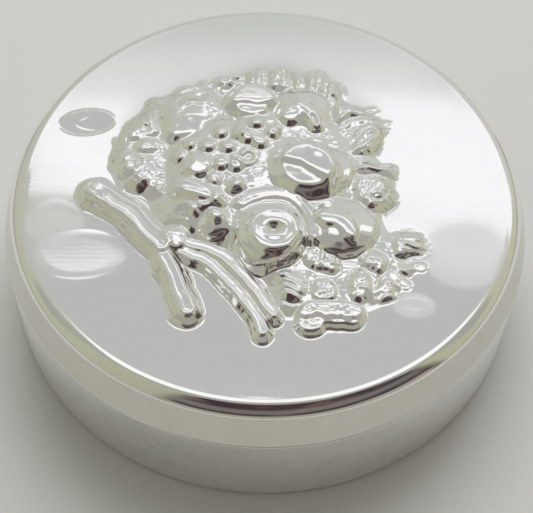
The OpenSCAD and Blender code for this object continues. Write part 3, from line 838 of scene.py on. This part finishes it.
# On the flat of the lid, over the old knocks
WORN_SPOTS = (
    ((-16.7, -8.6), (4.4, 2.8), 0.09), ((-19.3, -5.0), (2.8, 2.6), 0.10),
    ((18.2, -7.5), (4.2, 3.6), 0.10), ((13.3, -12.9), (2.0, 1.4), 0.12),
)

plate = make_lid_plate()
dress(plate, silver("relief_silver", (0.985, 0.984, 0.978), (0.94, 0.936, 0.92), 0.075, "across", 0.12, 0.15,
                    worn_spots=WORN_SPOTS))
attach(plate, "lid")
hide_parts("lid_plate")

# the skirt's silver is darker and yellower all over: partly its own tarnish, partly painted shade for the
# darker floor that it mirrors
skirt_silver_painted_shade = silver("skirt_silver_painted_shade", (0.73, 0.72, 0.668), (0.66, 0.643, 0.58), 0.14, "around", 0.10, 0.8)
wall_silver = silver("wall_silver", (0.99, 0.988, 0.98), (0.88, 0.873, 0.856), 0.29, "around", 0.12, 3.0)
collar_silver = silver("collar_silver", (0.95, 0.94, 0.91), (0.90, 0.875, 0.81), 0.08, "around", 0.10, 0.6)
inside_silver = silver("inside_silver", (0.91, 0.90, 0.87), (0.83, 0.80, 0.73), 0.24, "rings", 0.16, 2.5)
solder_silver = silver("solder_silver", (0.84, 0.82, 0.77), (0.72, 0.68, 0.61), 0.32, "around", 0.20, 4.0)
FINISHES = {
    "base_wall": wall_silver, "base_floor": inside_silver, "inner_collar": collar_silver,
    "lid_band": skirt_silver_painted_shade, "floor_solder": solder_silver, "collar_solder": solder_silver,
    "lid_solder": solder_silver,
}
for name, material in FINISHES.items():
    dress(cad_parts[name], material)

# ---------------------------------------------------------------- floor, light and camera


def make_floor():
    """A plain pale card, three metres square."""
    corners = np.array([(-1, -1, 0), (1, -1, 0), (1, 1, 0), (-1, 1, 0)]) * 1.5
    thing = add_mesh("floor", corners / MM, [(0, 1, 2, 3)], smooth=False)
    material = bpy.data.materials.new("floor_card")
    material.use_nodes = True
    shader = material.node_tree.nodes["Principled BSDF"]
    shader.inputs["Base Color"].default_value = (0.72, 0.72, 0.712, 1)
    shader.inputs["Roughness"].default_value = 0.8
    dress(thing, material)


def seen(r, g, b):
    """A colour from 0 to 255 as the eye sees it, as the linear value a shader takes."""
    return tuple(c / 3294.6 if c < 10.3 else ((c / 255 + 0.055) / 1.055) ** 2.4 for c in (r, g, b))


# The room round the box, seen from it: azimuth in degrees from +Y towards +X, and its colour
WALLS = (
    (-180, (70, 55, 55)), (-150, (60, 53, 60)), (-142, (168, 168, 148)), (-90, (182, 183, 160)),
    (-30, (185, 187, 175)), (0, (194, 196, 192)), (40, (200, 201, 194)), (62, (190, 190, 170)),
    (111, (178, 177, 150)), (117, (58, 53, 60)), (180, (70, 55, 55)),
)
# Lit panels and shades overhead, on a plane one unit up: left, right, near and far edge, softness, colour
OVERHEAD = (
    (-9, 9, -0.30, 0.30, 0.10, (165, 165, 158)),
    (-0.34, 0.48, 0.17, 0.49, 0.03, (254, 254, 255)),
    (-9, 9, 0.52, 0.70, 0.02, (187, 188, 187)),
    (-0.30, 0.20, 0.86, 0.99, 0.05, (220, 221, 221)),
    (-0.26, 0.12, 0.7645, 0.8995, 0.006, (252, 252, 255)),
    (0.08, 1.2, 0.72, 0.9187, 0.01, (252, 252, 255)),
)


def make_world():
    """The room that the silver mirrors, as a colour for each direction."""
    world = bpy.data.worlds.new("studio")
    bpy.context.scene.world = world
    world.use_nodes = True
    nodes, links = world.node_tree.nodes, world.node_tree.links
    put, calc = maker(world.node_tree)

    def change(value, start, end, before, after, **settings):
        """`before` until the value reaches start, `after` from end on."""
        return put("ShaderNodeMapRange", (value, start, end, before, after), **settings)

    def within(value, low, high, soft):
        """1 where the value lies between low and high, else 0, with soft ends."""
        up = change(value, low - soft, low + soft, 0.0, 1.0, interpolation_type="SMOOTHSTEP")
        down = change(value, high - soft, high + soft, 1.0, 0.0, interpolation_type="SMOOTHSTEP")
        return calc("MULTIPLY", up, down)

    def layer(below, mask, colour):
        """A colour laid over what is below, where the mask is 1."""
        node = nodes.new("ShaderNodeMix")
        node.data_type = "RGBA"
        links.new(mask, node.inputs["Factor"])
        links.new(below, node.inputs[6])
        node.inputs[7].default_value = (*seen(*colour), 1)
        return node.outputs[2]

    way = nodes.new("ShaderNodeTexCoord").outputs["Generated"]
    split = nodes.new("ShaderNodeSeparateXYZ")
    links.new(way, split.inputs[0])
    x, y, z = split.outputs
    azimuth = calc("DEGREES", calc("ARCTAN2", x, y))
    elevation = calc("DEGREES", calc("ARCSINE", z))
    height = calc("MAXIMUM", z, 0.02)
    across, along = calc("DIVIDE", x, height), calc("DIVIDE", y, height)

    walls = nodes.new("ShaderNodeValToRGB")
    links.new(calc("MULTIPLY_ADD", azimuth, 1 / 360, 0.5), walls.inputs[0])
    stops = walls.color_ramp.elements
    while len(stops) < len(WALLS):
        stops.new(1)
    for stop, (turn, colour) in zip(stops, WALLS):
        stop.position = turn / 360 + 0.5
        stop.color = (*seen(*colour), 1)
    room = walls.outputs[0]

    # the dim side of the room, behind the camera: clutter, a paler band higher up, and a pale foot
    unlit = calc("ADD", within(azimuth, 117, 190, 3), within(azimuth, -190, -146, 4))
    clutter = put("ShaderNodeTexNoise", (way, None, 3.5, 4.0, 0.6))
    room = layer(room, calc("MULTIPLY", unlit, change(clutter, 0.48, 0.68, 0.0, 0.8)), (132, 110, 100))
    haze = calc("MULTIPLY", calc("MULTIPLY", unlit, within(elevation, 29, 42, 5)), 0.75)
    room = layer(room, haze, (126, 122, 121))
    room = layer(room, calc("MULTIPLY", unlit, change(elevation, 14.0, 19.0, 1.0, 0.0)), (160, 156, 142))

    # a dimmer strip over the horizon all round, then what hangs overhead
    room = layer(room, change(elevation, 2.0, 6.0, 1.0, 0.0), (160, 158, 148))
    overhead = change(elevation, 20.0, 24.0, 0.0, 1.0)
    for left, right, near, far, soft, colour in OVERHEAD:
        mask = calc("MULTIPLY", within(across, left, right, soft), within(along, near, far, soft))
        room = layer(room, calc("MULTIPLY", mask, overhead), colour)
    links.new(room, nodes["Background"].inputs["Color"])
    nodes["Background"].inputs["Strength"].default_value = 1.0


def make_camera():
    """The camera of the photograph, fitted to the outlines of the lid and base."""
    elevation, roll = math.radians(55.3), math.radians(1.63)
    distance = 124.25  # from the middle of the underside, in mm
    aside, above = 0.2, 1.3  # how far its line of sight passes that point
    forward = Vector((0, math.cos(elevation), -math.sin(elevation)))
    right = Vector((1, 0, 0))
    up = right.cross(forward)
    place = -forward * distance + right * aside + up * above
    right_rolled = right * math.cos(roll) + up * math.sin(roll)
    up_rolled = up * math.cos(roll) - right * math.sin(roll)
    camera = bpy.data.objects.new("camera", bpy.data.cameras.new("camera"))
    turn = Matrix((right_rolled, up_rolled, -forward)).transposed().to_4x4()
    camera.matrix_world = Matrix.Translation(place * MM) @ turn
    camera.data.sensor_width = 36
    camera.data.lens = 81.05
    camera.data.clip_start = 0.005
    bpy.context.scene.collection.objects.link(camera)
    bpy.context.scene.camera = camera


def make_lamp():
    """A wide soft lamp high behind the box, which lights the floor."""
    data = bpy.data.lights.new("softbox", "AREA")
    data.shape = "RECTANGLE"
    data.size, data.size_y = 0.5, 0.4
    data.energy = 2.4
    lamp = bpy.data.objects.new("softbox", data)
    place = Vector((0.04, 0.38, 0.52))
    lamp.matrix_world = Matrix.Translation(place) @ place.to_track_quat("Z", "Y").to_matrix().to_4x4()
    lamp.visible_glossy = False
    bpy.context.scene.collection.objects.link(lamp)


make_floor()
make_world()
make_lamp()
make_camera()
bpy.context.scene.view_settings.view_transform = "Standard"
